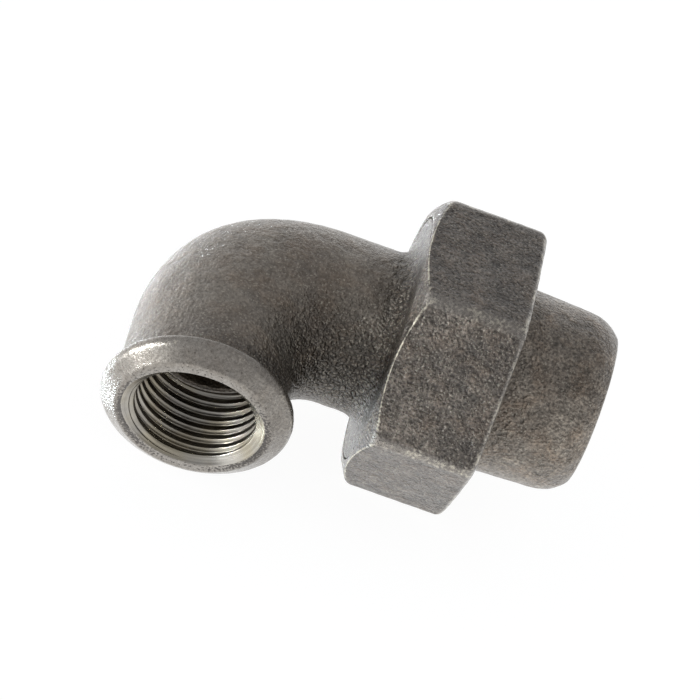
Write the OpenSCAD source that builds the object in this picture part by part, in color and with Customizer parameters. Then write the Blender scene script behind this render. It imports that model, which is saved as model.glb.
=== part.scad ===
// Half inch union elbow of malleable cast iron with a flat seat.
// It is made of the elbow casting, the flat gasket on its seat, the tail piece whose collar presses on the
// gasket, and the hexagon union nut that pulls the collar to the seat.
// The inlet faces -Y, the union and its outlet face +X, and the origin is the centre of the inlet's face.

/* [Pipe ports] */
// Diameter of the pipe thread at the bottom of its grooves
pipe_major_d = 20.955; // [20:0.005:21.4]
// Diameter of the pipe thread over its crests
pipe_minor_d = 18.631; // [17.8:0.001:19.4]
// Pitch of the pipe thread
pipe_pitch = 1.814; // [1.5:0.001:1.9]
// Number of thread turns in each port
pipe_turns = 7; // [4:1:7]
// Diameter of the chamfered mouth of each port
mouth_d = 20.8; // [19.6:0.1:21.4]
// Diameter of the waterway behind the threads
water_d = 17; // [12:0.1:17.6]

/* [Elbow] */
// From the crossing of the two axes to the inlet face
inlet_reach = 28; // [28:0.1:40]
// Outer diameter of the elbow's tube
tube_d = 25.8; // [24:0.1:27]
// Radius between the inside of the bend's own tube and the middle of its turn
bend_inside_r = 0.5; // [0.3:0.1:1.3]
// Radius of the inner corner between the two legs, where the casting is filled in
crotch_r = 6; // [3:0.1:7]
// Diameter of the rounded bead around the inlet
bead_d = 29.4; // [28.5:0.1:34]
// Width of the bead along the inlet
bead_w = 4; // [3.4:0.1:6]
// Diameter of the flat inlet face
bead_face_d = 23.8; // [22:0.1:25]
// Radius of the bead's rim
bead_rim_r = 1.3; // [0.4:0.1:1.4]
// From the inlet face to the top of the bead's rim
bead_peak = 2.6; // [2:0.1:2.8]

/* [Union end of the elbow] */
// From the crossing of the two axes to the back of the shoulder
shoulder_reach = 25; // [23.5:0.1:26]
// Diameter of the shoulder, which the nut's open end surrounds
shoulder_d = 38.6; // [37:0.1:39]
// Thickness of the shoulder
shoulder_w = 0.8; // [0.6:0.1:2]
// Radius of the fillet between the tube and the shoulder
shoulder_fillet = 3; // [1:0.1:4]
// From the crossing of the two axes to the flat seat
seat_reach = 34; // [33:0.1:40]
// Nominal outer diameter of the union thread
union_major_d = 37.897; // [36.6:0.001:38]
// Pitch of the union thread
union_pitch = 2.309; // [1.8:0.001:2.4]
// Height of the union thread
union_height = 1.479; // [1:0.001:1.6]

/* [Gasket] */
// Thickness of the pressed gasket
gasket_w = 2; // [1:0.1:3]
// Diameter of the hole in the gasket
gasket_bore_d = 18; // [17:0.1:22]
// Outer diameter of the gasket
gasket_d = 33.4; // [30:0.1:34]

/* [Tail piece] */
// From the crossing of the two axes to the outlet face
tail_reach = 58; // [56:0.1:70]
// Diameter of the tail's barrel beside the nut
barrel_d = 29.2; // [28:0.1:30]
// Diameter of the barrel where its rounded end begins
barrel_end_d = 28.2; // [27:0.1:28.8]
// Length of the rounded end of the barrel
end_round_w = 5.2; // [4:0.1:7]
// Diameter of the flat outlet face
end_face_d = 23.4; // [22:0.1:25]
// Diameter of the collar that the nut holds
collar_d = 34.4; // [33:0.1:34.6]
// Thickness of the collar
collar_w = 3; // [2:0.1:5]

/* [Union nut] */
// Width of the nut across its flats
nut_af = 41; // [40.6:0.1:46]
// Thickness of the nut's inward lip
lip_w = 3.5; // [2:0.1:5]
// Amount taken off the six corners, measured along the radius
corner_cut = 0.4; // [0.1:0.05:1.2]
// Diameter at which the chamfer of the nut's open end begins
nut_face_d = 40.6; // [40:0.1:46]
// Edge chamfer on the nut's lip end
nut_edge = 0.8; // [0.2:0.1:1.5]
// Turn of the nut: from -Y towards +Z to the middle of one flat
nut_clock = 38.3; // [0:0.1:59.9]

/* [Clearances] */
// Axial gap between the shoulder and the step inside the tight nut
nut_gap = 0.2; // [0.1:0.1:1]
// Radial gap between the shoulder and the nut's open end
shoulder_gap = 0.25; // [0.1:0.05:0.4]
// Radial gap between the barrel and the nut's lip
barrel_gap = 0.4; // [0.2:0.05:0.8]
// Radial gap of the union thread on each side of its nominal size
thread_gap = 0.1; // [0.08:0.01:0.2]
// Play of the union thread along the axis
thread_play = 0.3; // [0.2:0.05:0.4]

/* [Hidden] */
$fn = 96;
pipe_minor_r = pipe_minor_d / 2;
pipe_major_r = pipe_major_d / 2;
water_r = water_d / 2;
tube_r = tube_d / 2;
// Radius of the bend on the tube's centre line
bend_r = tube_r + bend_inside_r;
// How far the fill of the inner corner lies below the tube's own surface where it begins
fill_sink = 0.15;
// Radius of the bar that fills the inner corner, and of its own turn
fill_r = tube_r - fill_sink;
fill_bend_r = fill_r + crotch_r;
mouth_chamfer = (mouth_d - pipe_minor_d) / 2;
shoulder_front = shoulder_reach + shoulder_w;

// Shares of one pitch that are flat: crests and roots
pipe_crest_share = 1 / 4;
pipe_root_share = 1 / 12;
union_flat_share = 1 / 6;
// Length of a thread's run-out groove, in pitches
runout_share = 1.1;
// How far a cutting shape passes the surface that it cuts
cut_over = 0.2;
// Depth by which run-out grooves lie beyond the thread's own grooves
runout_extra = 0.15;
// Small broken edges on turned faces
edge_break = 0.5;
// Facets along one turn of the union thread
turn_steps = 36;
// Steps along a rounded corner
round_steps = 10;
// Slope of the chamfer on the nut's open end
nut_chamfer_angle = 30;
// Half of the angle that the round of the bead's rim covers
rim_half_angle = 60;
// Sides of the nut
nut_sides = 6;

// Places along the union axis
thread_start = shoulder_front + union_pitch * runout_share;
collar_front = seat_reach + gasket_w;
lip_face = collar_front + collar_w;
// The open end of the tight nut is level with the back of the shoulder
nut_start = shoulder_reach;
nut_step = shoulder_front + nut_gap;
nut_end = lip_face + lip_w;

// Radii of the union thread on the elbow (male) and in the nut (female)
male_crest_r = union_major_d / 2 - thread_gap;
male_root_r = male_crest_r - union_height;
female_root_r = union_major_d / 2 + thread_gap;
female_crest_r = female_root_r - union_height;
// Widths of the thread's flats and of one sloping flank
union_flat = union_pitch * union_flat_share;
union_flank = (union_pitch - 2 * union_flat) / 2;

// Points of an arc in a profile, from angle a0 to angle a1
function arc(centre_x, centre_y, r, a0, a1) = [
    for (i = [0 : round_steps])
        let (a = a0 + (a1 - a0) * i / round_steps)
            [centre_x + r * cos(a), centre_y + r * sin(a)]
];

// Moves a shape from the crossing of the two axes into the part's frame
module at_crossing() {
    translate([0, inlet_reach, 0]) children();
}

// Turns a shape made along +Z onto the union axis
module along_union() {
    rotate([0, 90, 0]) children();
}

// Turns a shape made along +Z onto the inlet axis
module along_inlet() {
    rotate([90, 0, 0]) children();
}

// A solid turned from a profile of radius and place along the axis
module turned(profile) {
    rotate_extrude() polygon(profile);
}

// A quarter bend of a round bar, from the inlet leg to the union leg
module bend(r, turn_r) {
    translate([turn_r, -turn_r, 0])
        rotate([0, 0, 90])
            rotate_extrude(angle = 90)
                translate([turn_r, 0])
                    circle(r = r);
}

// What is cut out of a port whose face is at z = 0 and whose hole runs to -z
module port_hole() {
    crest = pipe_pitch * pipe_crest_share;
    root = pipe_pitch * pipe_root_share;
    flank = (pipe_pitch - crest - root) / 2;
    thread_top = -mouth_chamfer;
    thread_end = thread_top - pipe_turns * pipe_pitch;
    turned([
        [0, cut_over],
        [mouth_d / 2 + cut_over, cut_over],
        [pipe_minor_r, thread_top],
        for (turn = [0 : pipe_turns - 1])
            let (top = thread_top - turn * pipe_pitch - crest / 2)
                each [
                    [pipe_minor_r, top],
                    [pipe_major_r, top - flank],
                    [pipe_major_r, top - flank - root],
                    [pipe_minor_r, top - 2 * flank - root]
                ],
        [pipe_minor_r, thread_end],
        [0, thread_end]
    ]);
}

// A right-hand helical bar along +Z, with a four-cornered section given as radius and place along the axis
module helix(section, z_from, z_to, turn_by) {
    corners = len(section);
    steps = ceil((z_to - z_from) / union_pitch * turn_steps);
    points = [
        for (i = [0 : steps])
            let (z = z_from + (z_to - z_from) * i / steps, a = 360 * z / union_pitch + turn_by)
                for (p = section)
                    [p[0] * cos(a), p[0] * sin(a), z + p[1]]
    ];
    sides = [
        for (i = [0 : steps - 1], j = [0 : corners - 1])
            let (k = (j + 1) % corners, a = i * corners, b = a + corners)
                each [[a + j, a + k, b + k], [a + j, b + k, b + j]]
    ];
    first_cap = [for (j = [corners - 1 : -1 : 0]) j];
    last_cap = [for (j = [0 : corners - 1]) steps * corners + j];
    polyhedron(points, concat([first_cap], sides, [last_cap]), convexity = 10);
}

// Section of a thread groove between two radii, whose width there grows with the given slope
function groove(r_floor, r_open, floor_w) =
    let (open_w = floor_w + 2 * abs(r_open - r_floor) * union_flank / union_height)
        r_open > r_floor
            ? [[r_floor, -floor_w / 2], [r_open, -open_w / 2], [r_open, open_w / 2], [r_floor, floor_w / 2]]
            : [[r_open, -open_w / 2], [r_floor, -floor_w / 2], [r_floor, floor_w / 2], [r_open, open_w / 2]];

// The inlet leg, with its bead, from the bend to the inlet face
module inlet_leg() {
    rim_x = bead_d / 2 - bead_rim_r;
    rim_z = inlet_reach - bead_peak;
    turned(concat(
        [[0, bend_r], [tube_r, bend_r], [tube_r, inlet_reach - bead_w]],
        arc(rim_x, rim_z, bead_rim_r, -rim_half_angle, rim_half_angle),
        [[bead_face_d / 2, inlet_reach], [0, inlet_reach]]
    ));
}

// The union leg, from the bend over the shoulder to the flat seat
module union_leg() {
    shoulder_r = shoulder_d / 2;
    runout_r = male_root_r - runout_extra;
    thread_chamfer = union_height / 2;
    turned(concat(
        [[0, bend_r], [tube_r, bend_r]],
        arc(tube_r + shoulder_fillet, shoulder_reach - shoulder_fillet, shoulder_fillet, 180, 90),
        [
            [shoulder_r - edge_break, shoulder_reach],
            [shoulder_r, shoulder_reach + edge_break],
            [shoulder_r, shoulder_front],
            [runout_r, shoulder_front],
            [runout_r, thread_start - thread_chamfer],
            [male_crest_r, thread_start],
            [male_crest_r, seat_reach - thread_chamfer],
            [male_crest_r - thread_chamfer, seat_reach],
            [0, seat_reach]
        ]
    ));
}

// The elbow casting, with its threaded inlet and its threaded union end
module elbow_body() {
    groove_section = groove(male_root_r, male_crest_r + cut_over, union_flat + thread_play);
    half_open = groove_section[2][1];
    color("dimgray") at_crossing() difference() {
        union() {
            bend(tube_r, bend_r);
            bend(fill_r, fill_bend_r);
            along_inlet() inlet_leg();
            along_union() union_leg();
        }
        bend(water_r, bend_r);
        along_inlet() translate([0, 0, bend_r]) cylinder(r = water_r, h = inlet_reach - bend_r);
        along_inlet() translate([0, 0, inlet_reach]) port_hole();
        along_union() translate([0, 0, bend_r]) cylinder(r = water_r, h = seat_reach);
        along_union()
            helix(groove_section, shoulder_front + half_open + thread_gap, seat_reach + half_open + cut_over, 0);
    }
}

// The flat gasket between the seat and the collar
module gasket() {
    color("darkslategray") at_crossing() along_union() translate([0, 0, seat_reach]) difference() {
        cylinder(d = gasket_d, h = gasket_w);
        translate([0, 0, -cut_over]) cylinder(d = gasket_bore_d, h = gasket_w + 2 * cut_over);
    }
}

// The tail piece: collar, barrel with a rounded end, waterway and threaded outlet
module union_tail() {
    barrel_r = barrel_d / 2;
    barrel_end_r = barrel_end_d / 2;
    collar_r = collar_d / 2;
    round_start = tail_reach - end_round_w;
    round_drop = (barrel_end_d - end_face_d) / 2;
    round_r = (end_round_w ^ 2 + round_drop ^ 2) / (2 * round_drop);
    round_angle = asin(end_round_w / round_r);
    color("gray") at_crossing() along_union() difference() {
        turned(concat(
            [
                [0, collar_front],
                [collar_r - edge_break, collar_front],
                [collar_r, collar_front + edge_break],
                [collar_r, lip_face],
                [barrel_r, lip_face],
                [barrel_r, nut_end]
            ],
            arc(barrel_end_r - round_r, round_start, round_r, 0, round_angle),
            [[0, tail_reach]]
        ));
        translate([0, 0, collar_front - cut_over]) cylinder(r = water_r, h = tail_reach - collar_front);
        translate([0, 0, tail_reach]) port_hole();
    }
}

// The hexagon nut, with its chamfered open end, union thread and inward lip
module union_nut() {
    hexagon_r = nut_af / 2 / cos(180 / nut_sides);
    corner_r = hexagon_r - corner_cut;
    face_r = nut_face_d / 2;
    chamfer_w = (corner_r - face_r) * tan(nut_chamfer_angle);
    lip_r = barrel_d / 2 + barrel_gap;
    runout_r = female_root_r + runout_extra;
    open_r = shoulder_d / 2 + shoulder_gap;
    thread_chamfer = union_height / 2;
    groove_section = groove(female_root_r, female_crest_r - cut_over, union_flat);
    half_open = groove_section[3][1];
    color("slategray") at_crossing() along_union() difference() {
        intersection() {
            translate([0, 0, nut_start])
                rotate([0, 0, -nut_clock])
                    cylinder(r = hexagon_r, h = nut_end - nut_start, $fn = nut_sides);
            turned([
                [0, nut_start],
                [face_r, nut_start],
                [corner_r, nut_start + chamfer_w],
                [corner_r, nut_end - nut_edge],
                [corner_r - nut_edge, nut_end],
                [0, nut_end]
            ]);
        }
        turned([
            [0, nut_start - cut_over],
            [open_r, nut_start - cut_over],
            [open_r, nut_step],
            [runout_r, nut_step],
            [runout_r, thread_start - thread_chamfer],
            [female_crest_r, thread_start],
            [female_crest_r, seat_reach],
            [runout_r, seat_reach + thread_chamfer],
            [runout_r, lip_face],
            [lip_r, lip_face],
            [lip_r, nut_end + cut_over],
            [0, nut_end + cut_over]
        ]);
        helix(groove_section, thread_start - half_open - cut_over, seat_reach + half_open + cut_over, 180);
    }
}

elbow_body();
gasket();
union_tail();
union_nut();
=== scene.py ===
"""Looks of a half inch union elbow of cast iron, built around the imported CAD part."""

import math

import bpy
import numpy as np
from mathutils import Matrix, Vector, noise


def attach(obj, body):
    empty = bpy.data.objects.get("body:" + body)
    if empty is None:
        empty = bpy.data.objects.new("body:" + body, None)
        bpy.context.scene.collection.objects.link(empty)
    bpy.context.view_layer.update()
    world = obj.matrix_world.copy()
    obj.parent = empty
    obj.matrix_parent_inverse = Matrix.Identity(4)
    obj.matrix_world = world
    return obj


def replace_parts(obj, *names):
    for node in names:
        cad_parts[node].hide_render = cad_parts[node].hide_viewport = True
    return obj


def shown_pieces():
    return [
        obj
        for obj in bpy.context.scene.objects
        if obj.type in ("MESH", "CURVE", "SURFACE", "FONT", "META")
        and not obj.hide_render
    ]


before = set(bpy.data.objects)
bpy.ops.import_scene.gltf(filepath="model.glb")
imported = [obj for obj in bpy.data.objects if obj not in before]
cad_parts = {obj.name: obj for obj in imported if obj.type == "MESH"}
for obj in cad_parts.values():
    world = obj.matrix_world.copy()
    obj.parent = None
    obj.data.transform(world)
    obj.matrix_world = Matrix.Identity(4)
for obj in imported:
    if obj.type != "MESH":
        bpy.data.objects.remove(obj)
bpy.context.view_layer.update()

MM = 0.001
TURN = 2 * math.pi

# Sizes of the part in millimetres, as in the CAD source
PIPE_MINOR_R = 18.631 / 2
PIPE_PITCH = 1.814
PIPE_TURNS = 7
MOUTH_R = 20.8 / 2
WATER_R = 17 / 2
INLET_REACH = 28.0
TUBE_R = 25.8 / 2
BEND_R = TUBE_R + 0.5
CROTCH_R = 6.0
BEAD_R = 29.4 / 2
BEAD_W = 4.0
BEAD_FACE_R = 23.8 / 2
SHOULDER_REACH = 25.0
SHOULDER_R = 38.6 / 2
SHOULDER_W = 0.8
SHOULDER_FILLET = 3.0
SEAT_REACH = 34.0
UNION_MAJOR_R = 37.897 / 2
UNION_PITCH = 2.309
UNION_HEIGHT = 1.479
THREAD_GAP = 0.1
THREAD_PLAY = 0.3
GASKET_W = 2.0
GASKET_BORE_R = 18 / 2
GASKET_R = 33.4 / 2
TAIL_REACH = 58.0
BARREL_R = 29.2 / 2
BARREL_END_R = 28.2 / 2
END_ROUND_W = 5.2
END_FACE_R = 23.4 / 2
COLLAR_R = 34.4 / 2
COLLAR_W = 3.0
NUT_FLAT_R = 41 / 2
LIP_W = 3.5
NUT_FACE_R = 40.6 / 2
NUT_CLOCK = 38.3
NUT_CONE = math.tan(math.radians(30))
NUT_GAP = 0.2
SHOULDER_GAP = 0.25
BARREL_GAP = 0.4
RUNOUT_SHARE = 1.1
RUNOUT_EXTRA = 0.15

# Sizes that follow from them
MOUTH_CHAMFER = MOUTH_R - PIPE_MINOR_R
PIPE_THREAD_END = MOUTH_CHAMFER + PIPE_TURNS * PIPE_PITCH
SHOULDER_FRONT = SHOULDER_REACH + SHOULDER_W
THREAD_START = SHOULDER_FRONT + UNION_PITCH * RUNOUT_SHARE
THREAD_CHAMFER = UNION_HEIGHT / 2
COLLAR_FRONT = SEAT_REACH + GASKET_W
LIP_FACE = COLLAR_FRONT + COLLAR_W
NUT_START = SHOULDER_REACH
NUT_STEP = SHOULDER_FRONT + NUT_GAP
NUT_END = LIP_FACE + LIP_W
MALE_CREST_R = UNION_MAJOR_R - THREAD_GAP
MALE_ROOT_R = MALE_CREST_R - UNION_HEIGHT
FEMALE_ROOT_R = UNION_MAJOR_R + THREAD_GAP
FEMALE_CREST_R = FEMALE_ROOT_R - UNION_HEIGHT
UNION_FLAT = UNION_PITCH / 6
FLANK_SLOPE = (UNION_PITCH - 2 * UNION_FLAT) / 2 / UNION_HEIGHT

# Places along the elbow's line, counted from the inlet face
INLET_LEG = INLET_REACH - BEND_R
BEND_LENGTH = BEND_R * math.pi / 2
BEND_END = INLET_LEG + BEND_LENGTH

# The pipe thread as the photograph shows it: flat shares of one pitch, and its depth in millimetres
PIPE_CREST_SHARE = 0.46
PIPE_ROOT_SHARE = 0.1
PIPE_SEEN_DEPTH = 0.6

# Forms in millimetres that are finer here than in the solids
CROTCH_FILL = CROTCH_R - (BEND_R - TUBE_R)
BEND_BULGE = 0.8
LEG_KEPT = 5.0
BEAD_SLOPE_END = 2.2
BEAD_FRONT_ROUND = 1.6
BEAD_BACK_ROUND = 1.0
MOUTH_INSET = 0.15
MOUTH_OVAL = 0.8
MOUTH_WAVER = 0.06
MOUTH_WAVES = 3
END_ROUND_STEPS = 12
NUT_CORNER_R = 2.0
NUT_FRONT_ROUND = 0.36
NUT_FRONT_CORNER_ROUND = 1.4
NUT_BACK_ROUND = 0.9
NUT_BACK_CORNER_ROUND = 0.7
LIP_RING_W = 1.5
GASKET_PRESS = 0.01
GASKET_ROUND = 0.6

# Wear, looks, and painted light and shade of the elbow: angles around the inlet in radians, places and widths
# in millimetres
RUB_ANGLE = 0.4
RUB_SHARE = 0.3
BEAD_NECK = 6.0
BEAD_NECK_W = 3.0
BEAD_NECK_COARSE = 0.6
SHOULDER_NEAR_W = 4.2
INNER_SIDE_FROM = 0.25
INNER_SIDE_POWER = 0.7
# Painted light: a paler patch on the flank of the bend that the key lamp lights
PALE_ANGLE = 0.95
PALE_SPREAD = 0.5
PALE_PLACE = 14.0
PALE_LENGTH = 10.0
PALE_SHARE = 0.36
# Painted shade in the bore: darker on one side of it, and darker deeper in
SHADED_SIDE_ANGLE = math.radians(40)
SHADED_SIDE_LEAST = 0.35
BORE_SHADE_AT_MOUTH = 0.2
PIT_RIGHT = math.radians(190)
PIT_LEFT = math.radians(-25)
PIT_LEAST = 0.35
PIT_RING = 0.7
PIT_RING_W = 0.9

# Wear and looks of the tail and the nut
TAIL_COARSE = 0.35
NUT_FRONT_WEAR = 1.0
NUT_CORNER_WEAR_LOSS = 0.7
NUT_BACK_WEAR = 0.55
EDGE_REACH = 1.5
EDGE_WORN = 0.44
EDGE_RUBBED = 0.6
LIP_RUBBED = 0.9
WEAR_SHARPNESS = 1.3

# Points around each piece, how much they crowd at the nut's corners, and where each piece's noise begins
CASTING_AROUND = 300
NUT_AROUND = 480
NUT_CROWDING = 0.5
GASKET_AROUND = 160
ELBOW_SEED = 3.0
TAIL_SEED = 7.0
NUT_SEED = 17.0
GASKET_SEED = 29.0

# Cast grain in the meshes: size of its features, height and shift of its noise
SWELL_SIZE = 6.0
RIPPLE_SIZE = 2.1
PIT_SIZE = 1.05
SWELL_SHARE = 0.6
RIPPLE_SHARE = 0.4
SWELL_HEIGHT = 0.05
PIT_HEIGHT = 0.035
RIPPLE_SHIFT = 11
PIT_SHIFT = 23
SMOOTHING = 5

# Zones of the surfaces: spacing of the mesh in millimetres, depth of the cast grain, share of bare metal
ZONES = {
    "skin": (0.27, 1.0, 0.0),
    "bead": (0.2, 0.5, 0.55),
    "face": (0.22, 0.35, 0.9),
    "rim": (0.16, 0.4, 0.1),
    "cut": (0.3, 0.0, 0.8),
    "thread": (0.11, 0.0, 0.9),
    "port": (0.08, 0.0, 0.9),
    "mouth": (0.11, 0.05, 1.0),
    "water": (0.6, 1.4, 0.0),
    "sheet": (0.4, 0.5, 0.0),
}
# Places of the turned metals in a piece's list of materials: along the union axis, along the inlet axis
MACHINED = {"cut": 1, "thread": 1, "port": 2, "mouth": 2}
# Values on the meshes that the materials read, besides the share of bare metal; two of them also carry
# painted shade, in coarse places and in the bores
LOOKS = ("worn", "coarse_and_shaded", "bore_shade", "pitted")


def unit(vectors):
    """The vectors with length one."""
    return vectors / np.maximum(np.linalg.norm(vectors, axis=-1, keepdims=True), 1e-9)


def hill(values, middle, width, power=2):
    """One at the middle, falling smoothly to nothing over about that width."""
    return np.exp(-((values - middle) / width) ** power)


def facing(angles, direction, power=1):
    """One at an angle, falling to nothing a quarter turn away from it."""
    return np.clip(np.cos(angles - direction), 0, 1) ** power


def rounded_corner(before, corner, after, radius, spacing):
    """Rows of points that round a profile's corner, for every angle around."""
    if np.max(radius) == 0:
        return [corner]
    back = unit(before - corner)
    ahead = unit(after - corner)
    half = np.arccos(np.clip((back * ahead).sum(-1, keepdims=True), -1, 1)) / 2
    reach = radius / np.tan(half)
    centre = corner + unit(back + ahead) * radius / np.sin(half)
    first = corner + back * reach - centre
    last = corner + ahead * reach - centre
    turn = math.pi - 2 * half
    steps = max(3, math.ceil(np.max(radius * turn) / spacing))
    rows = []
    for i in range(steps + 1):
        share = i / steps
        blend = np.sin((1 - share) * turn) * first + np.sin(share * turn) * last
        rows.append(centre + blend / np.sin(turn))
    return rows


def profile(corners, around):
    """Rows of place and radius along a closed profile, with each row's zone and wear.

    A corner is its place, its radius, its round, the wear on that round, and the zone that follows it."""
    points = []
    for place, radius, *_ in corners:
        points.append(np.stack([np.full(around, place), np.full(around, radius)], -1))
    arcs = []
    for i, (_, _, fillet, _, zone) in enumerate(corners):
        after = points[(i + 1) % len(points)]
        arcs.append(rounded_corner(points[i - 1], points[i], after, fillet, ZONES[zone][0]))
    rows = []
    zones = []
    wear = []
    for i, (_, _, _, worn, zone) in enumerate(corners):
        start = arcs[i][-1]
        end = arcs[(i + 1) % len(arcs)][0]
        steps = max(1, math.ceil(np.linalg.norm(end - start, axis=-1).mean() / ZONES[zone][0]))
        between = [start + (end - start) * k / steps for k in range(1, steps)]
        rows += arcs[i] + between
        zones += [zone] * (len(arcs[i]) + len(between))
        top = max(len(arcs[i]) - 1, 1)
        for k in range(len(arcs[i])):
            wear.append(np.full(around, worn) * math.sin(math.pi * k / top) ** WEAR_SHARPNESS)
        wear += [np.zeros(around)] * len(between)
    return np.array(rows), zones, np.array(wear)


def wave_depth(phase, crest_share, root_share):
    """Depth of a flat-topped thread, from 0 on the crest to 1 in the root, at a phase counted in pitches."""
    offset = np.abs(phase - np.round(phase))
    low = crest_share / 2
    high = 0.5 - root_share / 2
    return np.clip((offset - low) / (high - low), 0, 1)


def pipe_thread(places, radii, angles, depth_from_face):
    """Radii with the right-hand pipe thread cut into them, running out at the inner end."""
    fade = np.clip((PIPE_THREAD_END - depth_from_face) / (PIPE_PITCH / 2), 0, 1)
    depth = wave_depth(places / PIPE_PITCH - angles / TURN, PIPE_CREST_SHARE, PIPE_ROOT_SHARE)
    return np.maximum(radii, PIPE_MINOR_R + PIPE_SEEN_DEPTH * depth * fade)


def union_offset(places, angles):
    """Distance along the axis from the middle of the elbow's nearest thread groove."""
    phase = places / UNION_PITCH - (angles + TURN / 4) / TURN
    return np.abs(phase - np.round(phase)) * UNION_PITCH


def grain(points, size, shift):
    """Smooth noise from about -1 to 1 at each point, with features of that size."""
    spots = (points.reshape(-1, 3) / size + shift).tolist()
    return np.array([noise.noise(spot) for spot in spots]).reshape(points.shape[:-1])


def along_rows(values):
    """Values of rows, smoothed along the closed profile."""
    for _ in range(SMOOTHING):
        values = (np.roll(values, 1) + 2 * values + np.roll(values, -1)) / 4
    return values


def grid_mesh(name, points, zones, looks, body, materials, seed):
    """A piece from a grid of points that is closed both ways, with cast grain on it.

    Looks are the values that the materials read: those named in LOOKS, and one that adds to the
    share of bare metal, both where the metal is worn bare and where painted light falls."""
    rows, around, _ = points.shape
    plain = np.zeros((rows, around))
    down = np.roll(points, -1, 0) - np.roll(points, 1, 0)
    across = np.roll(points, -1, 1) - np.roll(points, 1, 1)
    outward = np.cross(across, down)
    normals = unit(outward)
    middle = points.mean((0, 1))
    flip = ((points - middle) * outward).sum() < 0
    if flip:
        normals = -normals
    depth = along_rows(np.array([ZONES[zone][1] for zone in zones]))[:, None]
    bare = along_rows(np.array([ZONES[zone][2] for zone in zones]))[:, None]
    swell = SWELL_SHARE * grain(points, SWELL_SIZE, seed)
    swell = swell + RIPPLE_SHARE * grain(points, RIPPLE_SIZE, seed + RIPPLE_SHIFT)
    pits = grain(points, PIT_SIZE, seed + PIT_SHIFT)
    height = (SWELL_HEIGHT * swell + PIT_HEIGHT * pits * (1 + looks.get("coarse_and_shaded", plain))) * depth
    moved = points + normals * height[..., None]
    index = np.arange(rows * around).reshape(rows, around)
    right_of = np.roll(index, -1, 1)
    below = np.roll(index, -1, 0)
    below_right = np.roll(below, -1, 1)
    order = [below, below_right, right_of, index] if flip else [right_of, below_right, below, index]
    faces = np.stack(order, -1).reshape(-1, 4)
    mesh = bpy.data.meshes.new(name)
    mesh.from_pydata((moved.reshape(-1, 3) * MM).tolist(), [], faces.tolist())
    fields = {label: plain + looks.get(label, plain) for label in LOOKS}
    # The share of bare metal also carries the painted light patch on the elbow
    fields["bare"] = plain + bare + looks.get("rubbed_and_lit", plain)
    for label, values in fields.items():
        layer = mesh.attributes.new(label, "FLOAT", "POINT")
        layer.data.foreach_set("value", values.astype(np.float32).ravel())
    slots = np.repeat([MACHINED.get(zone, 0) % len(materials) for zone in zones], around)
    for material in materials:
        mesh.materials.append(material)
    mesh.polygons.foreach_set("material_index", slots.astype(np.int32))
    mesh.shade_smooth()
    piece = bpy.data.objects.new(name, mesh)
    bpy.context.scene.collection.objects.link(piece)
    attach(piece, body)
    return piece


def even_angles(count):
    """Angles around the axis at even steps."""
    return np.arange(count) * TURN / count


def elbow_points(places, radii, angles, outer):
    """Points of the elbow at places along its line; on the outside, the inner corner is filled in."""
    out = radii * np.cos(angles)
    turn_r = BEND_R + out + np.where(outer, CROTCH_FILL * (1 - np.cos(angles)) / 2, 0)
    leg_end = INLET_REACH + out - turn_r
    run_start = turn_r - out
    stretch = np.maximum(places - LEG_KEPT, 0) / (INLET_LEG - LEG_KEPT)
    inlet_y = np.minimum(places, LEG_KEPT) + stretch * (leg_end - LEG_KEPT)
    theta = np.clip((places - INLET_LEG) / BEND_R, 0, math.pi / 2)
    run = BEND_R + places - BEND_END
    fillet_start = SHOULDER_REACH - SHOULDER_FILLET
    share = np.clip((run - BEND_R) / (fillet_start - BEND_R), 0, 1)
    run_x = run_start + share * (fillet_start - run_start) + np.maximum(run - fillet_start, 0)
    in_leg = places < INLET_LEG
    in_bend = places <= BEND_END
    bend_x = turn_r * (1 - np.cos(theta)) - out
    bend_y = leg_end + turn_r * np.sin(theta)
    x = np.where(in_leg, -out, np.where(in_bend, bend_x, run_x))
    y = np.where(in_leg, inlet_y, np.where(in_bend, bend_y, INLET_REACH + out))
    return np.stack(np.broadcast_arrays(x, y, radii * np.sin(angles)), -1)


def union_points(places, radii, angles):
    """Points around the union axis."""
    y = INLET_REACH + radii * np.cos(angles)
    return np.stack(np.broadcast_arrays(places, y, radii * np.sin(angles)), -1)


def run_place(x):
    """Place along the elbow's line of a point on the union axis."""
    return BEND_END + x - BEND_R


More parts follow.
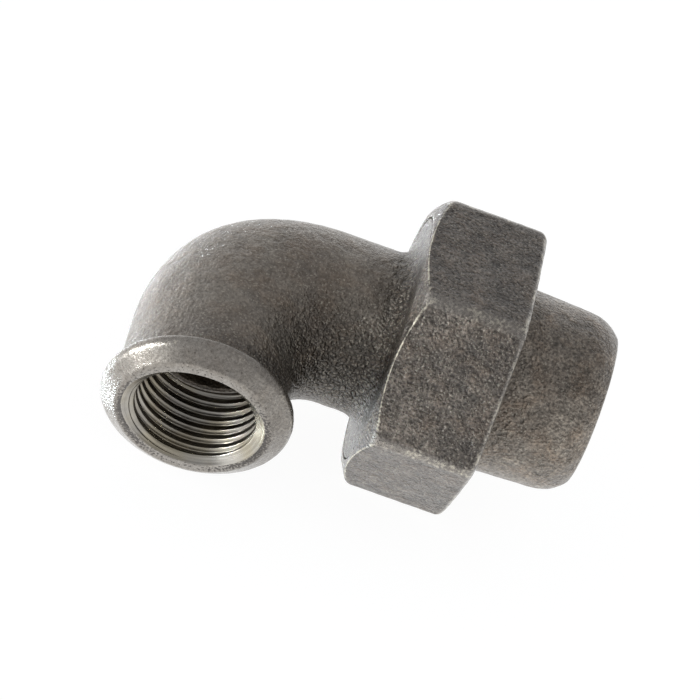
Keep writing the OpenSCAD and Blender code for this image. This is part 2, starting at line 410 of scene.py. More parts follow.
def make_elbow(materials):
    """The elbow casting with its bead, bend, shoulder, union thread, seat, waterway and pipe thread."""
    angles = even_angles(CASTING_AROUND)
    runout_r = MALE_ROOT_R - RUNOUT_EXTRA
    oval = MOUTH_OVAL * np.cos(angles) ** 2
    mouth_r = MOUTH_R - MOUTH_INSET + oval + MOUTH_WAVER * np.sin(MOUTH_WAVES * angles + 1)
    corners = [
        (0.0, mouth_r, 0.3, 0.5, "face"),
        (0.0, BEAD_FACE_R, 1.2, 0.1, "bead"),
        (BEAD_SLOPE_END, BEAD_R, BEAD_FRONT_ROUND, 0.3, "bead"),
        (BEAD_W, BEAD_R, BEAD_BACK_ROUND, 0.1, "bead"),
        (BEAD_W, TUBE_R, 0.6, 0.0, "skin"),
        (run_place(SHOULDER_REACH), TUBE_R, SHOULDER_FILLET, 0.0, "skin"),
        (run_place(SHOULDER_REACH), SHOULDER_R, 0.25, 0.15, "skin"),
        (run_place(SHOULDER_FRONT), SHOULDER_R, 0.06, 0.0, "cut"),
        (run_place(SHOULDER_FRONT), runout_r, 0.1, 0.0, "cut"),
        (run_place(THREAD_START - THREAD_CHAMFER), runout_r, 0.0, 0.0, "thread"),
        (run_place(THREAD_START), MALE_CREST_R, 0.0, 0.0, "thread"),
        (run_place(SEAT_REACH - THREAD_CHAMFER), MALE_CREST_R, 0.0, 0.0, "thread"),
        (run_place(SEAT_REACH), MALE_CREST_R - THREAD_CHAMFER, 0.1, 0.0, "cut"),
        (run_place(SEAT_REACH), WATER_R, 0.3, 0.0, "water"),
        (PIPE_THREAD_END, WATER_R, 0.3, 0.0, "water"),
        (PIPE_THREAD_END, PIPE_MINOR_R, 0.0, 0.0, "port"),
        (MOUTH_CHAMFER, PIPE_MINOR_R, 0.0, 0.0, "mouth"),
    ]
    rows, zones, wear = profile(corners, len(angles))
    places = rows[..., 0]
    radii = rows[..., 1]
    tags = np.array(zones)[:, None]
    outer = (tags == "skin") | (tags == "bead") | (tags == "face")
    bulge = np.sin(np.clip((places - INLET_LEG) / BEND_LENGTH, 0, 1) * math.pi) ** 2
    radii = radii + BEND_BULGE * bulge * facing(angles, 0, 2) * outer
    x = places - BEND_END + BEND_R
    open_half = (UNION_FLAT + THREAD_PLAY) / 2
    lift = np.clip((union_offset(x, angles) - open_half) / FLANK_SLOPE, 0, UNION_HEIGHT)
    radii = np.where(tags == "thread", np.minimum(radii, MALE_ROOT_R + lift), radii)
    in_port = (tags == "port") | (tags == "mouth")
    radii = np.where(in_port, pipe_thread(places, radii, angles, places), radii)
    points = elbow_points(places, radii, angles, outer)
    near_bead = hill(places, BEAD_NECK, BEAD_NECK_W) * outer
    near_shoulder = hill(places, run_place(SHOULDER_REACH), SHOULDER_NEAR_W)
    inner_side = np.clip((-np.cos(angles) - INNER_SIDE_FROM) / (1 - INNER_SIDE_FROM), 0, 1)
    # Coarse skin in the crotch, by the shoulder and at the bead's neck; the materials also darken these
    # places as painted shade
    coarse_and_shaded = np.maximum(near_shoulder, inner_side ** INNER_SIDE_POWER) + BEAD_NECK_COARSE * near_bead
    # Painted light: a paler patch, as bare metal, on the flank of the bend that the key lamp lights
    painted_light_patch = hill(angles, PALE_ANGLE, PALE_SPREAD) * hill(places, PALE_PLACE, PALE_LENGTH, 4) * outer
    # Painted shade in the bore: darker on one side and deeper in
    shaded_side = SHADED_SIDE_LEAST + (1 - SHADED_SIDE_LEAST) * np.cos((angles - SHADED_SIDE_ANGLE) / 2) ** 2
    pit_side = PIT_LEAST + facing(angles, PIT_RIGHT, 3) + facing(angles, PIT_LEFT, 3)
    pit_ring = hill(radii, MOUTH_R + PIT_RING, PIT_RING_W) * (places < BEAD_W) * outer
    looks = {
        "worn": wear,
        "rubbed_and_lit": RUB_SHARE * near_bead * facing(angles, RUB_ANGLE) + PALE_SHARE * painted_light_patch,
        "coarse_and_shaded": np.clip(coarse_and_shaded, 0, 1) * outer,
        "bore_shade": in_port * (BORE_SHADE_AT_MOUTH + (1 - BORE_SHADE_AT_MOUTH) * places / PIPE_THREAD_END) * shaded_side,
        "pitted": pit_ring * pit_side,
    }
    piece = grid_mesh("elbow_casting", points, zones, looks, "elbow", materials, ELBOW_SEED)
    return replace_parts(piece, "elbow_body")


def make_tail(materials):
    """The tail piece with its collar, barrel, rounded end, pipe thread and waterway."""
    angles = even_angles(CASTING_AROUND)
    drop = BARREL_END_R - END_FACE_R
    round_r = (END_ROUND_W ** 2 + drop ** 2) / (2 * drop)
    round_turn = math.asin(END_ROUND_W / round_r)
    round_start = TAIL_REACH - END_ROUND_W
    corners = [
        (COLLAR_FRONT, WATER_R, 0.2, 0.0, "cut"),
        (COLLAR_FRONT, COLLAR_R, 0.5, 0.0, "cut"),
        (LIP_FACE, COLLAR_R, 0.15, 0.0, "cut"),
        (LIP_FACE, BARREL_R, 0.15, 0.0, "skin"),
        (NUT_END, BARREL_R, 0.0, 0.0, "skin"),
    ]
    for i in range(END_ROUND_STEPS):
        turn = round_turn * i / END_ROUND_STEPS
        place = round_start + round_r * math.sin(turn)
        radius = BARREL_END_R - round_r + round_r * math.cos(turn)
        corners.append((place, radius, 0.0, 0.0, "skin"))
    corners += [
        (TAIL_REACH, END_FACE_R, 0.35, 0.5, "face"),
        (TAIL_REACH, MOUTH_R, 0.12, 0.5, "thread"),
        (TAIL_REACH - MOUTH_CHAMFER, PIPE_MINOR_R, 0.0, 0.0, "thread"),
        (TAIL_REACH - PIPE_THREAD_END, PIPE_MINOR_R, 0.0, 0.0, "cut"),
        (TAIL_REACH - PIPE_THREAD_END, WATER_R, 0.3, 0.0, "water"),
    ]
    rows, zones, wear = profile(corners, len(angles))
    places = rows[..., 0]
    radii = rows[..., 1]
    tags = np.array(zones)[:, None]
    radii = np.where(tags == "thread", pipe_thread(places, radii, angles, TAIL_REACH - places), radii)
    points = union_points(places, radii, angles)
    looks = {
        "worn": wear,
        "coarse_and_shaded": TAIL_COARSE * (tags == "skin"),
        # Painted shade: the tail's thread is darker deeper in
        "bore_shade": (tags == "thread") * (TAIL_REACH - places) / PIPE_THREAD_END,
    }
    piece = grid_mesh("tail_casting", points, zones, looks, "tail", materials, TAIL_SEED)
    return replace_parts(piece, "union_tail")


def make_nut(materials):
    """The hexagon nut with rounded edges, its conical open end, union thread and inward lip."""
    sixth = TURN / 6
    first_flat = math.radians(180 - NUT_CLOCK)
    even = even_angles(NUT_AROUND)
    angles = first_flat + even + NUT_CROWDING / 6 * np.sin(6 * even)
    away = np.abs(np.mod(angles - first_flat + sixth / 2, sixth) - sixth / 2)
    centre = (NUT_FLAT_R - NUT_CORNER_R) / math.cos(sixth / 2)
    to_corner = sixth / 2 - away
    flat_end = math.atan((NUT_FLAT_R - NUT_CORNER_R) * math.tan(sixth / 2) / NUT_FLAT_R)
    inside = np.maximum(NUT_CORNER_R ** 2 - (centre * np.sin(to_corner)) ** 2, 0)
    corner = centre * np.cos(to_corner) + np.sqrt(inside)
    outline = np.where(away < flat_end, NUT_FLAT_R / np.cos(away), corner)
    cone_end = NUT_START + (outline - NUT_FACE_R) * NUT_CONE
    runout_r = FEMALE_ROOT_R + RUNOUT_EXTRA
    lip_r = BARREL_R + BARREL_GAP
    open_r = SHOULDER_R + SHOULDER_GAP
    at_corner = (away / (sixth / 2)) ** 4
    front_round = (NUT_FRONT_ROUND + NUT_FRONT_CORNER_ROUND * at_corner)[:, None]
    front_wear = NUT_FRONT_WEAR - NUT_CORNER_WEAR_LOSS * at_corner
    back_round = (NUT_BACK_ROUND + NUT_BACK_CORNER_ROUND * at_corner)[:, None]
    corners = [
        (NUT_START, open_r, 0.15, 0.6, "rim"),
        (NUT_START, NUT_FACE_R, 0.1, 0.6, "rim"),
        (cone_end, outline, front_round, front_wear, "skin"),
        (NUT_END, outline, back_round, NUT_BACK_WEAR, "skin"),
        (NUT_END, lip_r + LIP_RING_W, 0.0, 0.0, "skin"),
        (NUT_END, lip_r, 0.4, 0.2, "cut"),
        (LIP_FACE, lip_r, 0.15, 0.0, "cut"),
        (LIP_FACE, runout_r, 0.2, 0.0, "cut"),
        (SEAT_REACH + THREAD_CHAMFER, runout_r, 0.0, 0.0, "thread"),
        (SEAT_REACH, FEMALE_CREST_R, 0.0, 0.0, "thread"),
        (THREAD_START, FEMALE_CREST_R, 0.0, 0.0, "thread"),
        (THREAD_START - THREAD_CHAMFER, runout_r, 0.0, 0.0, "cut"),
        (NUT_STEP, runout_r, 0.1, 0.0, "cut"),
        (NUT_STEP, open_r, 0.1, 0.0, "cut"),
    ]
    rows, zones, wear = profile(corners, NUT_AROUND)
    places = rows[..., 0]
    radii = rows[..., 1]
    tags = np.array(zones)[:, None]
    lift = np.clip((union_offset(places, angles) - UNION_FLAT / 2) / FLANK_SLOPE, 0, UNION_HEIGHT)
    radii = np.where(tags == "thread", np.maximum(radii, FEMALE_CREST_R + lift), radii)
    points = union_points(places, radii, angles)
    on_edge = np.clip(EDGE_REACH - to_corner / (sixth / 2 - flat_end), 0, 1)
    on_lip = LIP_RUBBED * wear * (places > LIP_FACE)
    looks = {
        "worn": np.where(tags == "skin", np.maximum(wear, EDGE_WORN * on_edge), wear),
        "rubbed_and_lit": np.where(tags == "skin", np.maximum(EDGE_RUBBED * on_edge, on_lip), 0),
    }
    piece = grid_mesh("nut_casting", points, zones, looks, "nut", materials, NUT_SEED)
    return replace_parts(piece, "union_nut")


def make_gasket(materials):
    """The flat gasket, with edges that the seat and the collar have pressed round."""
    angles = even_angles(GASKET_AROUND)
    front = SEAT_REACH + GASKET_PRESS
    rear = COLLAR_FRONT - GASKET_PRESS
    ring = ((front, GASKET_BORE_R), (front, GASKET_R), (rear, GASKET_R), (rear, GASKET_BORE_R))
    corners = [(place, radius, GASKET_ROUND, 0.0, "sheet") for place, radius in ring]
    rows, zones, wear = profile(corners, len(angles))
    points = union_points(rows[..., 0], rows[..., 1], angles)
    looks = {"worn": wear}
    piece = grid_mesh("gasket_ring", points, zones, looks, "seal", materials, GASKET_SEED)
    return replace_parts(piece, "gasket")


# Materials

# Noise: features per metre, detail, and the values of it that become 0 and 1
PATCHES = (110.0, 5.0, 0.38, 0.62)
RUST = (260.0, 5.0, 0.46, 0.66)
BLOTCHES = (360.0, 4.0, 0.36, 0.64)
LUMPS = (800.0, 3.0, 0.3, 0.7)
SAND = (2300.0, 3.0, 0.34, 0.66)
FINE = (4200.0, 2.0, 0.3, 0.7)
# Glints are painted highlights in the base colour
GLINTS = (2900.0, 3.0, 0.57, 0.68)
STAINS = (300.0, 4.0, 0.42, 0.66)
CUT_STAINS = (260.0, 4.0, 0.5, 0.75)
CUT_WARMTH = (170.0, 2.0, 0.4, 0.62)
MOTTLE = (700.0, 4.0, 0.35, 0.65)
FIBRES = (2600.0, 5.0, 0.58, 0.66)
# Pits: features per metre and detail of the noise that the mesh's value lifts
PITS = (2500.0, 4.0)
# Cracks: cells per metre, and how wide the cracks between them fade out
CRACK_SCALE = 1250.0
CRACK_W = 0.25

# Cast skins: name, dark, light and rusty colours, contrast of the grain, and relief. All three are one cast
# iron; their differences in brightness are painted light and shade, the elbow's and the tail's lighter and
# the nut's darker, set for how the lamps fall on each part.
ELBOW_SKIN = ("elbow_skin", (0.15, 0.122, 0.094), (0.22, 0.192, 0.156), (0.19, 0.142, 0.099), 0.24, 0.56)
NUT_SKIN = ("nut_skin", (0.072, 0.058, 0.045), (0.127, 0.107, 0.087), (0.105, 0.076, 0.053), 0.58, 0.9)
TAIL_SKIN = ("tail_skin", (0.165, 0.135, 0.104), (0.272, 0.234, 0.189), (0.22, 0.16, 0.109), 0.48, 0.8)

# Other colours; the warm one is a tint of the cut metal
METAL = (0.335, 0.312, 0.282)
CUT = (0.5, 0.478, 0.435)
CUT_WARM = (1.02, 0.97, 0.84)
# Grime of the stains on cut metal, also used for painted shade in the bores
GRIME_AND_SHADE = (0.09, 0.075, 0.06)
# Colour of the painted glints
GLINT = (0.5, 0.46, 0.38)
STAIN = (0.18, 0.15, 0.12)
PIT = (0.04, 0.034, 0.03)
WORN_EDGE = (0.72, 0.67, 0.54)
SHEET_DARK = (0.02, 0.026, 0.02)
SHEET_LIGHT = (0.045, 0.05, 0.04)
SHEET_FIBRE = (0.14, 0.14, 0.11)

# How far each layer of the cast skin covers or darkens the one under it, and from which values
RUST_SHARE = 0.6
SWING_SHARE = 0.45
CRACK_DARK = 0.35
# Painted shade: coarse places darken from this value on, down to this share
COARSE_FROM = 0.45
COARSE_SHADE = 0.6
# Painted glints: their share on plain skin and on coarse skin
GLINTS_PLAIN = 0.45
GLINTS_COARSE = 0.6
PIT_LIFT = 0.22
PIT_LIMITS = (0.64, 0.7)
PIT_MOST = 0.9
STAIN_SHARE = 0.35
BARE_SWING = 0.15
FINE_SHARE = 0.3
RUBBED_FROM = 0.25
RUBBED_MOST = 0.97
EDGE_SAND = 0.45
EDGE_BLOTCH = 0.4
EDGE_LIMITS = (0.85, 1.45)
EDGE_MOST = 0.9

# Gloss of the cast skin, of its bare places and of the oil on it
SKIN_METALLIC = 0.85
SKIN_ROUGHNESS = (0.32, 0.48)
BARE_LIMITS = (0.35, 0.55)
BARE_GLOSS = 0.7
OIL_LEAST = 0.5
OIL_COARSE = 0.7
OIL_ROUGHNESS = 0.19
OIL_IOR = 1.7

# Relief of the cast skin: heights against the sand's, the bump's distance in metres, and its strengths
FINE_HEIGHT = 0.35
LUMP_HEIGHT = 1.7
BLOTCH_HEIGHT = 1.6
CRACK_DEPTH = 1.2
SKIN_BUMP_DISTANCE = 0.00014
COARSE_RELIEF = 0.8
BARE_RELIEF = 0.15

# Turned metal: marks per metre across them and along them, their noise, and what they do
RING_FINE = 4500.0
RING_LONG = 60.0
MARKS = (1.0, 2.0, 0.3, 0.7)
MARK_SHADES = (0.75, 1.12)
MARK_ROUGHNESS = (0.2, 0.34)
MARK_BUMP = 0.25
MARK_BUMP_DISTANCE = 0.00003
CUT_STAIN_SHARE = 0.4
# Share of painted shade deep in the bores
BORE_SHADE_SHARE = 0.62

# Gasket sheet
FIBRE_SHARE = 0.6
SHEET_ROUGHNESS = 0.8
SHEET_BUMP = 0.4
SHEET_BUMP_DISTANCE = 0.00005


def add(tree, kind, inputs, **settings):
    """A node with its settings and inputs; an input is a value or another node's output."""
    made = tree.nodes.new(kind)
    for key, value in settings.items():
        setattr(made, key, value)
    for key, value in inputs.items():
        if isinstance(value, bpy.types.NodeSocket):
            tree.links.new(value, made.inputs[key])
        else:
            made.inputs[key].default_value = value
    return made


def ranged(tree, value, low, high, first, last):
    """The value mapped from one range to another, and held inside it."""
    inputs = {"Value": value, "From Min": low, "From Max": high, "To Min": first, "To Max": last}
    return add(tree, "ShaderNodeMapRange", inputs).outputs[0]


def spread(tree, value, first, last):
    """A value from 0 to 1, mapped to another range."""
    return ranged(tree, value, 0.0, 1.0, first, last)


def cloud(tree, place, scale, detail):
    """Noise at that scale per metre, from about 0.2 to 0.8."""
    return add(tree, "ShaderNodeTexNoise", {"Vector": place, "Scale": scale, "Detail": detail}).outputs[0]


def speckle(tree, place, scale, detail, low, high):
    """Noise at that scale per metre, stretched so that low becomes 0 and high becomes 1."""
    return ranged(tree, cloud(tree, place, scale, detail), low, high, 0.0, 1.0)


def cells(tree, place, scale):
    """Cells at that scale per metre, 0 on the cracks between them and 1 inside."""
    inputs = {"Vector": place, "Scale": scale}
    texture = add(tree, "ShaderNodeTexVoronoi", inputs, feature="DISTANCE_TO_EDGE")
    return ranged(tree, texture.outputs["Distance"], 0.0, CRACK_W, 0.0, 1.0)


def mixed(tree, share, first, second):
    """A mix of two colours."""
    made = tree.nodes.new("ShaderNodeMix")
    made.data_type = "RGBA"
    for socket, value in ((0, share), (6, first), (7, second)):
        if isinstance(value, bpy.types.NodeSocket):
            tree.links.new(value, made.inputs[socket])
        elif socket == 0:
            made.inputs[socket].default_value = value
        else:
            made.inputs[socket].default_value = (*value, 1.0)
    return made.outputs[2]


def maths(tree, operation, first, second):
    """The result of one sum on two values."""
    return add(tree, "ShaderNodeMath", {0: first, 1: second}, operation=operation).outputs[0]


def times(tree, first, second):
    """Two values multiplied."""
    return maths(tree, "MULTIPLY", first, second)


def plus(tree, first, second):
    """Two values added."""
    return maths(tree, "ADD", first, second)


def scaled(tree, colour, share):
    """A colour made lighter or darker by a share."""
    return add(tree, "ShaderNodeVectorMath", {0: colour, "Scale": share}, operation="SCALE").outputs[0]


def swung(tree, colour, value, swing):
    """A colour made darker and lighter by up to that swing, as a value goes from 0 to 1."""
    return scaled(tree, colour, spread(tree, value, 1.0 - swing, 1.0 + swing))


def field(tree, name):
    """A value stored on the mesh."""
    return add(tree, "ShaderNodeAttribute", {}, attribute_name=name).outputs["Fac"]


def bumped(tree, shader, height, strength, distance, sockets):
    """A bump from the height, linked to the shader's normal sockets."""
    bump = add(tree, "ShaderNodeBump", {"Height": height, "Strength": strength, "Distance": distance})
    for socket in sockets:
        tree.links.new(bump.outputs[0], shader.inputs[socket])


def new_material(name):
    """A material with its tree, its shader and the object's own coordinates."""
    material = bpy.data.materials.new(name)
    material.use_nodes = True
    tree = material.node_tree
    place = tree.nodes.new("ShaderNodeTexCoord").outputs["Object"]
    return material, tree, tree.nodes["Principled BSDF"], place


def cast_skin(name, dark, light, rust, contrast, relief):
    """Oiled cast iron: mottled oxide, rust, grain, cracked rough skin with painted shade on it, painted
    glints, and bare metal where worn and where painted light falls.
    """
    material, tree, shader, place = new_material(name)
    coarse_and_shaded = field(tree, "coarse_and_shaded")
    bare_and_lit = field(tree, "bare")
    patches = speckle(tree, place, *PATCHES)
    rusty = speckle(tree, place, *RUST)
    blotches = speckle(tree, place, *BLOTCHES)
    lumps = speckle(tree, place, *LUMPS)
    sand = speckle(tree, place, *SAND)
    fine = speckle(tree, place, *FINE)
    cracks = maths(tree, "SUBTRACT", 1.0, cells(tree, place, CRACK_SCALE))
    cracks = times(tree, cracks, coarse_and_shaded)

    colour = mixed(tree, patches, dark, light)
    colour = mixed(tree, times(tree, rusty, RUST_SHARE), colour, rust)
    colour = swung(tree, colour, sand, contrast)
    colour = swung(tree, colour, lumps, SWING_SHARE * contrast)
    colour = swung(tree, colour, blotches, SWING_SHARE * contrast)
    colour = scaled(tree, colour, spread(tree, cracks, 1.0, CRACK_DARK))
    # Painted shade in the coarse places: the crotch, by the shoulder and at the bead's neck
    colour = scaled(tree, colour, ranged(tree, coarse_and_shaded, COARSE_FROM, 1.0, 1.0, COARSE_SHADE))
    # Painted glints: bright specks mixed into the base colour, more of them on coarse skin
    glints = speckle(tree, place, *GLINTS)
    glints = times(tree, glints, spread(tree, coarse_and_shaded, GLINTS_PLAIN, GLINTS_COARSE))
    colour = mixed(tree, glints, colour, GLINT)

    pitted = times(tree, field(tree, "pitted"), PIT_LIFT)
    pitted = plus(tree, cloud(tree, place, *PITS), pitted)
    pitted = ranged(tree, pitted, *PIT_LIMITS, 0.0, PIT_MOST)
    stained = speckle(tree, place, *STAINS)
    bare = mixed(tree, times(tree, stained, STAIN_SHARE), METAL, STAIN)
    bare = mixed(tree, pitted, bare, PIT)
    bare = swung(tree, bare, sand, BARE_SWING)
    # Mix towards bare metal, where rubbed and where painted light falls
    rubbed_and_lit = plus(tree, bare_and_lit, times(tree, fine, FINE_SHARE))
    rubbed_and_lit = ranged(tree, rubbed_and_lit, RUBBED_FROM, 1.0, 0.0, RUBBED_MOST)
    colour = mixed(tree, rubbed_and_lit, colour, bare)

    broken = plus(tree, times(tree, sand, EDGE_SAND), times(tree, blotches, EDGE_BLOTCH))
    edge = plus(tree, field(tree, "worn"), broken)
    edge = ranged(tree, edge, *EDGE_LIMITS, 0.0, EDGE_MOST)
    colour = mixed(tree, edge, colour, WORN_EDGE)
    tree.links.new(colour, shader.inputs["Base Color"])
    shader.inputs["Metallic"].default_value = SKIN_METALLIC
    oil = times(tree, spread(tree, sand, OIL_LEAST, 1.0), spread(tree, coarse_and_shaded, 1.0, OIL_COARSE))
    tree.links.new(oil, shader.inputs["Coat Weight"])
    shader.inputs["Coat Roughness"].default_value = OIL_ROUGHNESS
    shader.inputs["Coat IOR"].default_value = OIL_IOR
    polish = ranged(tree, bare_and_lit, *BARE_LIMITS, 1.0, BARE_GLOSS)
    roughness = times(tree, spread(tree, fine, *SKIN_ROUGHNESS), polish)
    tree.links.new(roughness, shader.inputs["Roughness"])

    height = plus(tree, sand, times(tree, fine, FINE_HEIGHT))
    height = plus(tree, height, times(tree, lumps, LUMP_HEIGHT))
    height = plus(tree, height, times(tree, blotches, BLOTCH_HEIGHT))
    height = maths(tree, "SUBTRACT", height, times(tree, cracks, CRACK_DEPTH))
    smooth = ranged(tree, bare_and_lit, *BARE_LIMITS, 1.0, BARE_RELIEF)
    strength = times(tree, spread(tree, coarse_and_shaded, relief, COARSE_RELIEF), smooth)
    bumped(tree, shader, height, strength, SKIN_BUMP_DISTANCE, ("Normal", "Coat Normal"))
    return material


def cut_metal(name, rings):
    """Turned iron: bright and slightly warm, with rings from the tool, a little grime, and painted shade
    deeper in the bores.
    """
    material, tree, shader, place = new_material(name)
    turned = add(tree, "ShaderNodeVectorMath", {0: place, 1: rings}, operation="MULTIPLY").outputs[0]
    marks = speckle(tree, turned, *MARKS)
    stains = speckle(tree, place, *CUT_STAINS)
    warm = speckle(tree, place, *CUT_WARMTH)
    warm_cut = tuple(part * tint for part, tint in zip(CUT, CUT_WARM))
    colour = mixed(tree, warm, CUT, warm_cut)
    colour = scaled(tree, colour, spread(tree, marks, *MARK_SHADES))
    colour = mixed(tree, times(tree, stains, CUT_STAIN_SHARE), colour, GRIME_AND_SHADE)
    # Painted shade: darker deeper in the bore and on one of its sides
    colour = mixed(tree, times(tree, field(tree, "bore_shade"), BORE_SHADE_SHARE), colour, GRIME_AND_SHADE)
    tree.links.new(colour, shader.inputs["Base Color"])
    shader.inputs["Metallic"].default_value = 1.0
    tree.links.new(spread(tree, marks, *MARK_ROUGHNESS), shader.inputs["Roughness"])
    bumped(tree, shader, marks, MARK_BUMP, MARK_BUMP_DISTANCE, ("Normal",))
    return material


def fibre_sheet(name):
    """Pressed fibre sheet with short pale threads in it."""
    material, tree, shader, place = new_material(name)
    mottle = speckle(tree, place, *MOTTLE)
    fibres = speckle(tree, place, *FIBRES)
    colour = mixed(tree, mottle, SHEET_DARK, SHEET_LIGHT)
    colour = mixed(tree, times(tree, fibres, FIBRE_SHARE), colour, SHEET_FIBRE)
    tree.links.new(colour, shader.inputs["Base Color"])
    shader.inputs["Roughness"].default_value = SHEET_ROUGHNESS
    bumped(tree, shader, fibres, SHEET_BUMP, SHEET_BUMP_DISTANCE, ("Normal",))
    return material


cut_union = cut_metal("turned_iron_union", (RING_FINE, RING_LONG, RING_LONG))
cut_inlet = cut_metal("turned_iron_inlet", (RING_LONG, RING_FINE, RING_LONG))
body_skin = cast_skin(*ELBOW_SKIN)
nut_skin = cast_skin(*NUT_SKIN)
tail_skin = cast_skin(*TAIL_SKIN)
sheet = fibre_sheet("gasket_sheet")

make_elbow([body_skin, cut_union, cut_inlet])
make_tail([tail_skin, cut_union])
make_nut([nut_skin, cut_union])
make_gasket([sheet])


# Camera, fitted to the photograph: angles, and the crossing of the axes as it is seen, in millimetres

IMAGE_SIDE = 700
FOCAL_PIXELS = 6000
SENSOR = 36.0
AZIMUTH = math.radians(-7.96)
ELEVATION = math.radians(49.03)
ROLL = math.radians(25.71)
CROSSING = Vector((0, INLET_REACH, 0))
CROSSING_SEEN = (-17.75, -10.24, 908.48)

back = Vector((
    math.sin(AZIMUTH) * math.cos(ELEVATION),
    -math.cos(AZIMUTH) * math.cos(ELEVATION),
    math.sin(ELEVATION),
))
level_right = Vector((math.cos(AZIMUTH), math.sin(AZIMUTH), 0))
level_up = back.cross(level_right)
right = level_right * math.cos(ROLL) + level_up * math.sin(ROLL)
up = level_up * math.cos(ROLL) - level_right * math.sin(ROLL)
eye = CROSSING - right * CROSSING_SEEN[0] + up * CROSSING_SEEN[1] + back * CROSSING_SEEN[2]
camera_data = bpy.data.cameras.new("camera")
camera_data.sensor_width = SENSOR
camera_data.lens = FOCAL_PIXELS / IMAGE_SIDE * SENSOR
camera = bpy.data.objects.new("camera", camera_data)
bpy.context.scene.collection.objects.link(camera)
axes = Matrix((right, up, back)).transposed()
camera.matrix_world = Matrix.Translation(eye * MM) @ axes.to_4x4()
bpy.context.scene.camera = camera


# Floor, light and surroundings

# Upward direction of the plane on which the part can lie, and the floor's size in metres
FLOOR_UP = Vector((0.082, 0.144, 0.986)).normalized()
FLOOR_SIZE = 6.0
# Brightness of the floor for light that it throws, for the camera and reflections, and of what shadows darken
FLOOR_THROWN = 0.9
FLOOR_GLOW = 0.94
FLOOR_SHADE = (0.12, 0.12, 0.12, 1)
WHITE = (1.0, 1.0, 1.0)
# Colours of the surround: its even light, and what reflections show away from the pale horizon
SOFT_LIGHT = (0.55, 0.56, 0.58)
CEILING = (0.46, 0.46, 0.47)
# Ranges of direction over which the pale horizon ends: rising, towards the camera's side, and to the right
HORIZON_RISE = (0.05, 0.35)
CAMERA_SIDE = (0.45, 0.75)
RIGHT_SIDE = (0.3, 0.7)
RIGHT_PALE = 0.3
# Lamps: name, metres to the right of the part's middle, above it and towards the camera, size, watts, colour
LAMP_TARGET = Vector((20, INLET_REACH, 0)) * MM
LAMPS = (
    ("key", -0.67, 0.06, 0.285, 0.42, 4.2, (0.95, 0.98, 1.0)),
    ("left", -0.72, -0.15, -0.46, 0.6, 3.2, (0.77, 0.9, 1.0)),
    ("behind", -0.4, 0.3, -0.68, 0.5, 1.0, (0.85, 0.92, 1.0)),
)


def background_seen(tree):
    """One for rays that should find the plain background."""
    path = tree.nodes.new("ShaderNodeLightPath")
    seen = maths(tree, "MAXIMUM", path.outputs["Is Camera Ray"], path.outputs["Is Glossy Ray"])
    return maths(tree, "MAXIMUM", seen, path.outputs["Is Transmission Ray"])


def lowest_point():
    """How far the part's lowest point lies along the floor's upward direction."""
    lowest = math.inf
    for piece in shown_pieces():
        co = np.zeros(len(piece.data.vertices) * 3, np.float32)
        piece.data.vertices.foreach_get("co", co)
        lowest = min(lowest, float((co.reshape(-1, 3) @ np.array(FLOOR_UP)).min()))
    return lowest


def floor_material():
    """Plain white with the part's shadow on it; it lets the lamps' own light through."""
    material = bpy.data.materials.new("floor")
    material.use_nodes = True
    tree = material.node_tree
    tree.nodes.remove(tree.nodes["Principled BSDF"])
    thrown = add(tree, "ShaderNodeEmission", {"Color": (*WHITE, 1), "Strength": FLOOR_THROWN})
    shade = add(tree, "ShaderNodeBsdfDiffuse", {"Color": FLOOR_SHADE})
    glow = add(tree, "ShaderNodeEmission", {"Color": (*WHITE, 1), "Strength": FLOOR_GLOW})
    white = add(tree, "ShaderNodeAddShader", {0: shade.outputs[0], 1: glow.outputs[0]})
    choice = {0: background_seen(tree), 1: thrown.outputs[0], 2: white.outputs[0]}
    surface = add(tree, "ShaderNodeMixShader", choice)
    clear = tree.nodes.new("ShaderNodeBsdfTransparent")
    shadow = tree.nodes.new("ShaderNodeLightPath").outputs["Is Shadow Ray"]
    lit = add(tree, "ShaderNodeMixShader", {0: shadow, 1: surface.outputs[0], 2: clear.outputs[0]})
    tree.links.new(lit.outputs[0], tree.nodes["Material Output"].inputs["Surface"])
    return material


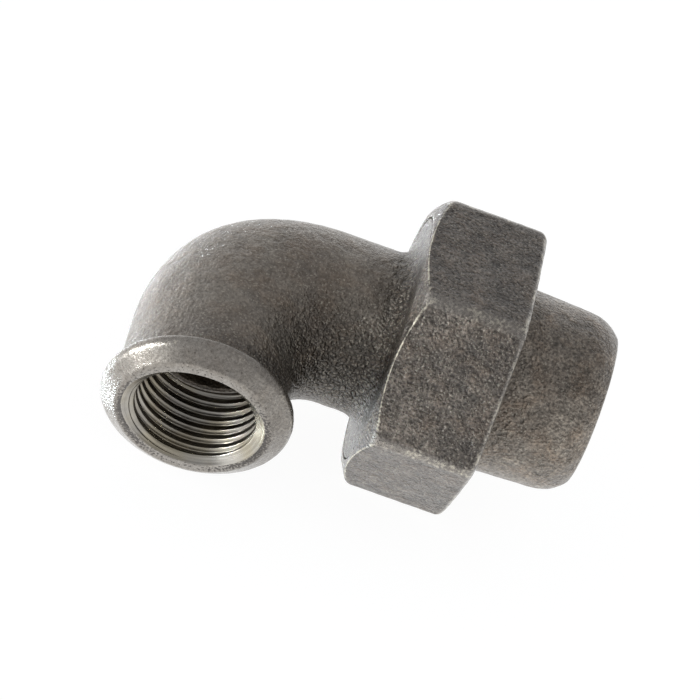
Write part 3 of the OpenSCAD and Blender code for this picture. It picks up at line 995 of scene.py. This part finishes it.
def make_floor():
    """The pale floor on which the part lies, touching it at its lowest point."""
    half = FLOOR_SIZE / 2
    mesh = bpy.data.meshes.new("floor")
    corners = [(-half, -half, 0), (half, -half, 0), (half, half, 0), (-half, half, 0)]
    mesh.from_pydata(corners, [], [(0, 1, 2, 3)])
    mesh.materials.append(floor_material())
    floor = bpy.data.objects.new("floor", mesh)
    floor.location = FLOOR_UP * lowest_point()
    floor.rotation_mode = "QUATERNION"
    floor.rotation_quaternion = FLOOR_UP.to_track_quat("Z", "Y")
    bpy.context.scene.collection.objects.link(floor)


def falling(tree, direction, axis, limits, last):
    """One where a direction lies low along an axis, falling to the last value between the two limits."""
    along = add(tree, "ShaderNodeVectorMath", {0: direction, 1: axis}, operation="DOT_PRODUCT")
    return ranged(tree, along.outputs["Value"], *limits, 1.0, last)


def make_world():
    """White for the camera, a pale horizon under a grey ceiling for reflections, soft light for the rest."""
    world = bpy.data.worlds.new("surround")
    bpy.context.scene.world = world
    world.use_nodes = True
    tree = world.node_tree
    path = tree.nodes.new("ShaderNodeLightPath")
    direction = tree.nodes.new("ShaderNodeTexCoord").outputs["Generated"]
    low = falling(tree, direction, FLOOR_UP, HORIZON_RISE, 0.0)
    away = falling(tree, direction, back, CAMERA_SIDE, 0.0)
    leftward = falling(tree, direction, right, RIGHT_SIDE, RIGHT_PALE)
    pale = times(tree, times(tree, low, away), leftward)
    mirrored = mixed(tree, pale, CEILING, WHITE)
    colour = mixed(tree, background_seen(tree), SOFT_LIGHT, mirrored)
    colour = mixed(tree, path.outputs["Is Camera Ray"], colour, WHITE)
    tree.links.new(colour, tree.nodes["Background"].inputs["Color"])


def make_lamp(name, side, height, depth, size, power, colour):
    """A soft square lamp, placed from the photograph's viewpoint and aimed at the part's middle."""
    data = bpy.data.lights.new(name, "AREA")
    data.size = size
    data.energy = power
    data.color = colour
    data.cycles.use_multiple_importance_sampling = False
    lamp = bpy.data.objects.new(name, data)
    lamp.location = LAMP_TARGET + right * side + up * height + back * depth
    lamp.rotation_mode = "QUATERNION"
    lamp.rotation_quaternion = (lamp.location - LAMP_TARGET).to_track_quat("Z", "Y")
    bpy.context.scene.collection.objects.link(lamp)


make_floor()
make_world()
for lamp_values in LAMPS:
    make_lamp(*lamp_values)

bpy.context.scene.view_settings.view_transform = "Standard"
